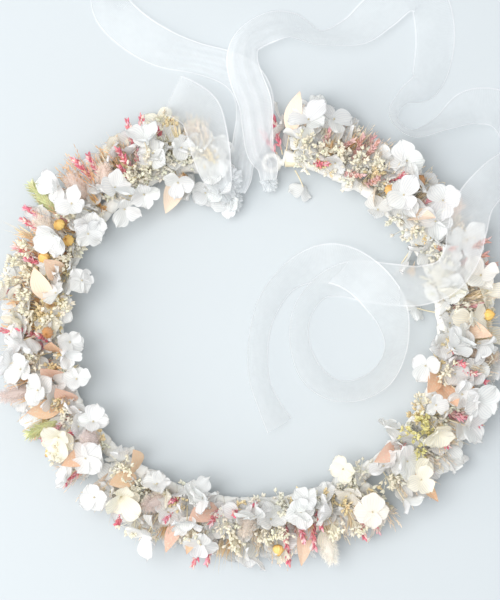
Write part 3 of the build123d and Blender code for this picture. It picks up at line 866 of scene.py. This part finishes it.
# The rows of small flowers: the least and most distance out from the core's line, and height above it.
TUFT_ROWS = [((-3, 2), (8, 13)), ((2, 11), (10, 15)), ((9, 20), (6, 12)), ((15, 26), (-1, 7))]
PETAL_ROWS = [((3, 9), (4, 8)), ((9, 15), (3, 8)), ((14, 20), (1, 6))]
FILL_STEP = 2.6
FLEX_CLEARANCE = 2.6


def scattered(rows):
    return [(between(*out), between(*up)) for out, up in rows]


def spot(angle, out, up):
    """A point near this angle, this far out from the core's line and above it."""
    return core_point(angle + between(-1, 1)) + outward(angle) * out + UP * up


def add_tuft(body, angle, foot, tip, out, warm):
    """One small flower, its kind by chance. Those far out are more often grass, and only they are heather."""
    choice = RNG.random() + (0.22 if out > 13 else 0.0)
    if choice < 0.42:
        paint = rgb(255, 253, 243) if RNG.random() < (0.4 if warm else 0.8) else rgb(255, 241, 202)
        make_broom(batches("broom_clusters", body), foot, tip, paint, 15, 0.7, 8.5)
        stalk(body, foot, tip - unit(tip - foot) * 6, THIN_STALK)
    elif choice < 0.66:
        normal = swayed(UP * 0.6 + outward(angle) * between(-0.9, 0.9), 0.5)
        paint = WHITE if RNG.random() < 0.8 else CREAM
        make_floret(batches("hydrangea_florets", body), tip, normal, between(6.8, 9.6), paint)
        stalk(body, foot, tip, THIN_STALK)
    elif choice < 0.78:
        tip = tip - UP * 2
        axes = rolled(swayed(UP * 0.5, 0.6))
        petal(batches("hydrangea_florets", body), tip, axes, between(8, 12), between(7, 10), WHITE, 0.3, 0.8)
        stalk(body, foot, tip, THIN_STALK)
    elif choice < 0.96:
        paint = rgb(254, 220, 170) if warm else STRAW
        make_oat(batches("oat_spikelets", body), foot, tip + outward(angle) * 3, paint)
    elif choice < 1.12:
        paint = WARM_GRASS if warm else PALE_GRASS
        make_feather(batches("feather_grasses", body), foot, tip + outward(angle) * 4, paint)
    else:
        make_heather(batches("heather_sprigs", body), foot, tip, MIXED_BELLS)


def add_fringe(body, angle, foot, warm):
    """Husks and grass that stand out past the flowers."""
    for kind in ("oat_spikelets", "feather_grasses"):
        if RNG.random() < 0.35:
            continue
        near = core_point(angle + between(-1, 1))
        tip = near + outward(angle) * between(16, 24) + UP * between(4, 12)
        if kind == "oat_spikelets":
            paint = tinted(rgb(255, 228, 180) if warm else STRAW, 0.04)
            make_oat(batches(kind, body), foot, tip, paint)
        else:
            paint = tinted(WARM_GRASS if warm else PALE_GRASS, 0.04)
            make_feather(batches(kind, body), foot, tip + outward(angle) * 4, paint)


def fill_between():
    """Small tufts, petals and wisps between the flowers, close to the tape, so that it hardly shows."""
    angle = END_ANGLES["left"] + 2.0
    while angle < END_ANGLES["right"] + 358.0:
        clear = not near_a_flex(angle, FLEX_CLEARANCE)
        body = side_of(angle)
        foot = core_point(angle)
        warm = within(angle, WARM_STRETCH)
        bare = any(abs(angle - middle) < reach for middle, reach in BARE_TAPE)
        for out, up in scattered(TUFT_ROWS):
            if clear and not (out < 2 and RNG.random() < (0.75 if bare else 0.15)):
                add_tuft(body, angle, foot, spot(angle, out, up), out, warm)
        for out, up in scattered(PETAL_ROWS):
            if clear:
                tip = spot(angle, out, up)
                axes = rolled(swayed(UP, 0.3))
                petal(batches("hydrangea_florets", body), tip, axes, between(8, 11), between(8, 11), WHITE,
                      0.1, 0.6)
        if clear:
            add_fringe(body, angle, foot, warm)
        angle += FILL_STEP
    end = core_point(END_ANGLES["left"])
    for place in np.array(END_FLORETS):
        make_floret(batches("hydrangea_florets", "left_arm"), place, swayed(UP, 0.35), 8.5, WHITE)
        stalk("left_arm", end, place, THIN_STALK)


# ---- tape, wire ends, ribbons

def tape_along(batch, start, end):
    """The taped core between two angles, with the wound turns standing a little proud."""
    angles = np.arange(start, end + TAPE_STEP / 2, TAPE_STEP)
    centre = np.array([core_point(a) for a in angles])
    across = np.cross(unit(np.gradient(centre, axis=0)), UP)
    turn = np.linspace(0, tau, TAPE_SIDES, endpoint=False)[None]
    run = along_line(centre)[:, None]
    phase = (run / TAPE_PITCH + turn / tau) % 1.0
    bumps = 0.26 * np.sin(run / 5.0 + 2 * turn) + 0.16 * np.sin(run / 1.9 + 3 * turn)
    bumps = bumps + 0.12 * np.sin(run / 0.9 - 5 * turn + np.sin(run / 11))
    radius = TAPE_RADIUS + 0.55 * phase**1.5 + bumps
    ring = across[:, None] * np.cos(turn)[..., None] + UP * np.sin(turn)[..., None]
    points = centre[:, None] + ring * radius[..., None]
    places = places_over(run / TAPE_PITCH, turn / tau, 0 * radius)
    batch.add(points, grid_quads(len(angles), TAPE_SIDES, True), WHITE, places)
    quads = [[n, (n + 1) % TAPE_SIDES, TAPE_SIDES, TAPE_SIDES] for n in range(TAPE_SIDES)]
    for cap in (points[0], points[-1]):
        batch.add(np.vstack([cap, cap.mean(0)]), quads, WHITE, np.zeros((TAPE_SIDES + 1, 3)))


def make_core():
    """The tape in two halves that meet in the middle of the front."""
    halves = (
        ("left", END_ANGLES["left"], FRONT_MIDDLE, 1),
        ("right", FRONT_MIDDLE, END_ANGLES["right"] + 360, -1),
    )
    for side, start, end, inwards in halves:
        batch = Batch()
        tape_along(batch, start, end)
        piece = batch.build(f"tape_wrap_{side}", TAPE)
        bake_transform(piece)
        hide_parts(*([f"tape_{side}", "tape_front"] if side == "left" else [f"tape_{side}"]))


def make_loops():
    """The taped eyelets at the ends of the wire, under the knots."""
    for side, way in (("left", -1), ("right", 1)):
        start = core_point(END_ANGLES[side])
        heading = core_direction(END_ANGLES[side]) * way
        middle = start + heading * (LOOP_NECK + LOOP_RADIUS)
        across = np.cross(UP, heading)
        t = np.linspace(0, tau, 60)
        c, s = np.cos(t)[:, None], np.sin(t)[:, None]
        circle = middle - heading * LOOP_RADIUS * c + across * LOOP_RADIUS * s
        batch = Batch()
        tube(batch, circle, LOOP_TUBE * (0.92 + 0.10 * (t * 3 % 1)), WHITE, 14)
        neck = start + heading * np.linspace(-0.6, LOOP_NECK + 0.6, 12)[:, None]
        tube(batch, neck, np.linspace(1.9, LOOP_TUBE, 12), WHITE, 14)
        piece = batch.build(f"taped_eyelet_{side}", TAPE)
        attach(piece, f"{side}_arm")
        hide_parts(f"end_loop_{side}")


def smooth_route(route):
    """Places about a millimetre apart on a smooth curve through the route's places."""
    route = np.array([(*place, 1)[:5] for place in route], float)
    ends = np.vstack([2 * route[0] - route[1], route, 2 * route[-1] - route[-2]])
    rows = []
    for n in range(1, len(ends) - 2):
        p0, p1, p2, p3 = ends[n - 1:n + 3]
        t = np.linspace(0, 1, max(2, int(np.linalg.norm((p2 - p1)[:2]))), endpoint=False)[:, None]
        rows.append(0.5 * (2 * p1 + (p2 - p0) * t + (2 * p0 - 5 * p1 + 4 * p2 - p3) * t**2
                           + (3 * p1 - p0 - 3 * p2 + p3) * t**3))
    return np.vstack(rows + [route[-1:]])


def band(batch, route, lengthways, seed, curl=1.0):
    """A ribbon along a route. Its weave starts this far lengthways. Returns the ribbon's length."""
    places = smooth_route(route)
    flat = places[:, :2]
    heading = unit(np.gradient(flat, axis=0))
    level = np.stack([heading[:, 1], -heading[:, 0], 0 * heading[:, 0]], axis=1)
    tilt = np.radians(places[:, 3])
    across = level * np.cos(tilt)[:, None] + UP * np.sin(tilt)[:, None]
    facing = -level * np.sin(tilt)[:, None] + UP * np.cos(tilt)[:, None]
    v = np.linspace(-1, 1, RIBBON_COLUMNS)[None]
    half = RIBBON_WIDTH / 2 * places[:, 4]
    centre = np.column_stack([flat, places[:, 2] + half * np.sin(tilt)])
    distance = along_line(centre)
    run = distance[:, None]
    drawn_in = 1 - places[:, 4:5]
    gather = np.minimum(drawn_in * 4.6, 1.4) * np.sin(v * 9 + run * 0.05 + seed)
    ripple = 0.45 * np.sin(run / 13 + seed + v * 1.3) + 0.3 * np.sin(run / 6.1 + 2 * seed - v * 2)
    swell = curl * (v**2 - 0.35) * np.sin(run / 31 + seed)
    points = centre[:, None] + across[:, None] * (half[:, None] * v)[..., None]
    points = points + facing[:, None] * (gather + ripple + swell)[..., None]
    points[..., 2] = np.maximum(points[..., 2], RIBBON_LOWEST)
    places = places_over((run + lengthways) * MM, v, drawn_in)
    batch.add(points, grid_quads(len(points), RIBBON_COLUMNS), WHITE, places)
    return distance[-1]


# Each ribbon's places: x, y, the height of its lower edge, the tilt of its width from flat in degrees,
# and the share of its width that is spread, where that isn't all of it.
LEFT_STRAND = [
    (-10, 70, 12, 20, 0.35), (-9, 77, 12.5, 8, 0.5), (-9, 86, 13.5, 4, 0.6), (-6.5, 96, 16.5, 3, 0.74),
    (-4, 108, 16.5, 3, 0.86), (-5, 120, 8.5, 3, 0.92), (-10, 129, 3.5, 5, 0.9), (-20, 135, 2, 5, 0.8),
    (-36, 139, 1.2, 8, 0.75), (-54, 143, 1, 22, 0.95), (-68, 150, 1, 18), (-80, 160, 1, 20),
    (-87, 171, 1, 55), (-83, 182, 0.8, 85),
]
LEFT_TAIL = [
    (-14, 66, 14, 30, 0.35), (-18, 71, 19, 25, 0.5), (-22, 79, 26, 8, 0.75), (-25, 89, 32, 3, 0.9),
    (-28, 100, 33, 0, 0.95), (-32, 109, 29, 0), (-40, 115, 21, 0), (-47, 118, 15, 0),
]
RIGHT_STRAND = [
    (5, 77, 15, 15, 0.35), (4, 84, 19, 10, 0.5), (0, 91, 24.5, 8, 0.65), (-2, 102, 28.5, 5, 0.72),
    (-4, 115, 26.5, 5, 0.78), (-9, 127, 21.5, 8, 0.8), (-12, 138, 17.5, 8, 0.75),
    (-10, 148, 12.5, 12, 0.7), (0, 156, 5.5, 25, 0.85), (12, 158, 1, 45), (28, 152, 0.8, 60),
    (46, 157, 0.8, 35), (58, 168, 0.8, 20), (70, 178, 0.8, 20), (82, 176, 0.8, 20), (87, 162, 0.8, 10),
    (87, 146, 0.8, 20), (83, 131, 0.8, 45), (73, 124, 0.8, 70), (68, 114, 0.8, 75), (78, 106, 0.8, 75),
    (93, 112, 0.8, 60), (108, 121, 0.8, 30), (122, 121, 0.8, 20), (132, 113, 1, 10),
    (134, 102, 6.5, 15), (129, 91, 22.5, 20), (118, 82, 34.5, 30), (109, 70, 37.5, 25),
    (106, 56, 37.5, 15, 0.95), (104, 43, 37.5, 15, 0.9), (97, 32, 35.5, 15, 0.9),
    (85, 27, 22.5, 10, 0.95), (73, 27, 8.5, 10), (60, 28, 1, 15), (46, 28, 0.8, 35), (34, 23, 0.8, 55),
    (26, 11, 0.8, 60), (25, -4, 0.8, 60), (31, -19, 0.8, 60), (43, -28, 0.8, 60), (57, -28, 0.8, 60),
    (69, -20, 0.8, 60), (75, -6, 0.8, 60), (73, 9, 0.8, 45), (66, 21, 6.5, 20), (55, 31, 9.5, 10),
    (42, 36, 8.5, 15), (28, 34, 2.5, 35), (15, 25, 0.8, 55), (7, 10, 0.8, 60), (4, -8, 0.8, 60),
    (6, -25, 0.8, 60), (12, -39, 0.8, 55), (18, -49, 0.8, 50),
]
ROLL_CENTRE = (-97.0, 191.0)
ROLL_OUTER = 14.6
ROLL_INNER = 5.0
ROLL_PITCH = 1.2


def roll_route():
    """The rolled-up rest of the left ribbon, standing on its edge."""
    turns = (ROLL_OUTER - ROLL_INNER) / ROLL_PITCH
    t = np.linspace(-0.03, turns, int(turns * 24))
    radius = ROLL_OUTER - ROLL_PITCH * np.maximum(t, 0)
    x, y = ROLL_CENTRE
    return [(x + r * cos(a * tau), y + r * sin(a * tau), 0.7, 90, 1) for a, r in zip(t, radius)]


# Each knot's puffs: the middle, and half the size each way.
PUFFS = {
    "left": [
        ((-14, 66, 9), (7.5, 7.5, 6.8)),
        ((-20, 71, 14), (8.5, 8.5, 7)),
        ((-15, 76, 17), (8, 8, 6)),
    ],
    "right": [((5.5, 76, 9), (5.5, 5.5, 4.8))],
}


def knot_shape(batch, middle, sizes, seed):
    """A puff of gathered organza: a lump of deep folds drawn in at its waist."""
    rows, columns = 56, 120
    lat = np.linspace(0.02, pi - 0.02, rows)
    lon = np.linspace(0, tau, columns, endpoint=False)
    a, b = np.meshgrid(lat, lon, indexing="ij")
    folds = 0.15 * np.sin(5 * b + 3 * np.sin(2 * a + seed) + seed) + 0.10 * np.sin(11 * b - 4 * a + 2 * seed)
    folds = folds + 0.06 * np.sin(19 * b + 7 * a) + 0.09 * np.sin(6 * a + 2 * np.sin(3 * b + seed))
    r = (0.80 + folds) * (1 - 0.22 * np.exp(-(((a - 1.35) / 0.28) ** 2)))
    x, y, z = r * np.sin(a) * np.cos(b), r * np.sin(a) * np.sin(b), r * np.cos(a)
    points = places_over(x, y, z) * sizes + middle
    places = places_over(a / 40, 0.8 * np.sin(9 * b), 0 * a)
    batch.add(points, grid_quads(rows, columns, True), WHITE, places)


def make_ribbons():
    """The two sheer ribbons and their knots."""
    left, right = Batch(), Batch()
    strand = band(left, LEFT_STRAND, 0.0, 0.4)
    tail = band(left, LEFT_TAIL, 900.0, 2.2)
    roll = band(left, roll_route(), strand, 1.0, curl=0.15)
    whole = band(right, RIGHT_STRAND, 0.0, 3.1)
    for side, batch, length, names in (
        ("left", left, strand + tail + roll, ("ribbon_left", "ribbon_left_tail", "ribbon_left_roll")),
        ("right", right, whole, ("ribbon_right",)),
    ):
        lump = Batch()
        for n, (middle, sizes) in enumerate(PUFFS[side]):
            knot_shape(lump, middle, sizes, n * 1.7)
        knot = lump.build(f"gathered_knot_{side}", GATHERED)
        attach(knot, f"{side}_arm")
        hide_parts(f"ribbon_knot_{side}")
        piece = batch.build(f"organza_ribbon_{side}", ORGANZA)
        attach(piece, f"{side}_arm")
        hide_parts(*names)
        print(f"organza_ribbon_{side} is {length:.0f} mm long")


# ---- putting it together

def finish_flowers():
    for (kind, body), batch in sorted(BATCHES.items()):
        side = body.split("_")[0]
        material = STALKS if kind == "stalks" else MATERIALS[kind]
        piece = batch.build(f"{kind}_{side}_detail", material)
        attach(piece, body)
        if kind != "stalks" and f"{kind}_{side}" in frame["nodes"]:
            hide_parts(f"{kind}_{side}")


def dress_cad_nodes():
    for name, obj in frame["nodes"].items():
        if name.startswith(("wire_", "bound_stems_")):
            obj.data.materials.clear()
            obj.data.materials.append(WIRE if name.startswith("wire_") else BOUND)


# In metres, but the sensor in millimetres and the roll in degrees. The view is VIEW_TALL at VIEW_LEVEL.
FLOOR_HALF = 6.0
SENSOR = 36.0
CAMERA_HEIGHT = 1.10
CAMERA_CENTRE = (-0.001, 0.015)
CAMERA_ROLL = 3.2
VIEW_TALL = 0.308
VIEW_LEVEL = 0.016


def make_stage():
    """The table, in metres."""
    h = FLOOR_HALF
    mesh = bpy.data.meshes.new("pale_table")
    mesh.from_pydata([(-h, -h, 0), (h, -h, 0), (h, h, 0), (-h, h, 0)], [], [(0, 1, 2, 3)])
    paint = plain_material("pale_paint", rgb(193, 198, 200), 0.85, 3.0, rgb(191, 197, 200), 0.02)
    mesh.materials.append(paint)
    linked("pale_table", mesh)


def make_light(name, place, size, energy, colour):
    """A round area light facing the crown's middle: its place and size in metres, its power in watts."""
    light = bpy.data.lights.new(name, "AREA")
    light.shape = "DISK"
    light.size = size
    light.energy = energy
    light.color = colour
    obj = linked(name, light)
    obj.location = place
    obj.rotation_mode = "QUATERNION"
    obj.rotation_quaternion = (-obj.location).to_track_quat("-Z", "Y")


def make_camera():
    """A camera that looks straight down on the crown."""
    camera = bpy.data.cameras.new("camera")
    camera.lens = SENSOR * (CAMERA_HEIGHT - VIEW_LEVEL) / VIEW_TALL
    camera.sensor_width = SENSOR
    camera.clip_start, camera.clip_end = 0.01, 50
    obj = linked("camera", camera)
    obj.location = (*CAMERA_CENTRE, CAMERA_HEIGHT)
    obj.rotation_euler = (0, 0, radians(CAMERA_ROLL))
    bpy.context.scene.camera = obj


def make_world():
    world = bpy.data.worlds.new("soft_room")
    world.use_nodes = True
    background = world.node_tree.nodes["Background"]
    background.inputs[0].default_value = (0.945, 0.97, 1.0, 1.0)
    background.inputs[1].default_value = 0.74
    bpy.context.scene.world = world
    bpy.context.scene.view_settings.view_transform = "Standard"


plant_all()
fill_between()
finish_flowers()
make_core()
make_loops()
make_ribbons()
dress_cad_nodes()
make_stage()
make_camera()
make_world()
make_light("window", (-1.1, -0.42, 0.95), 1.1, 8.0, (1.0, 0.985, 0.955))
make_light("ceiling", (-0.35, 0.0, 1.45), 0.9, 16.5, (0.98, 0.99, 1.0))
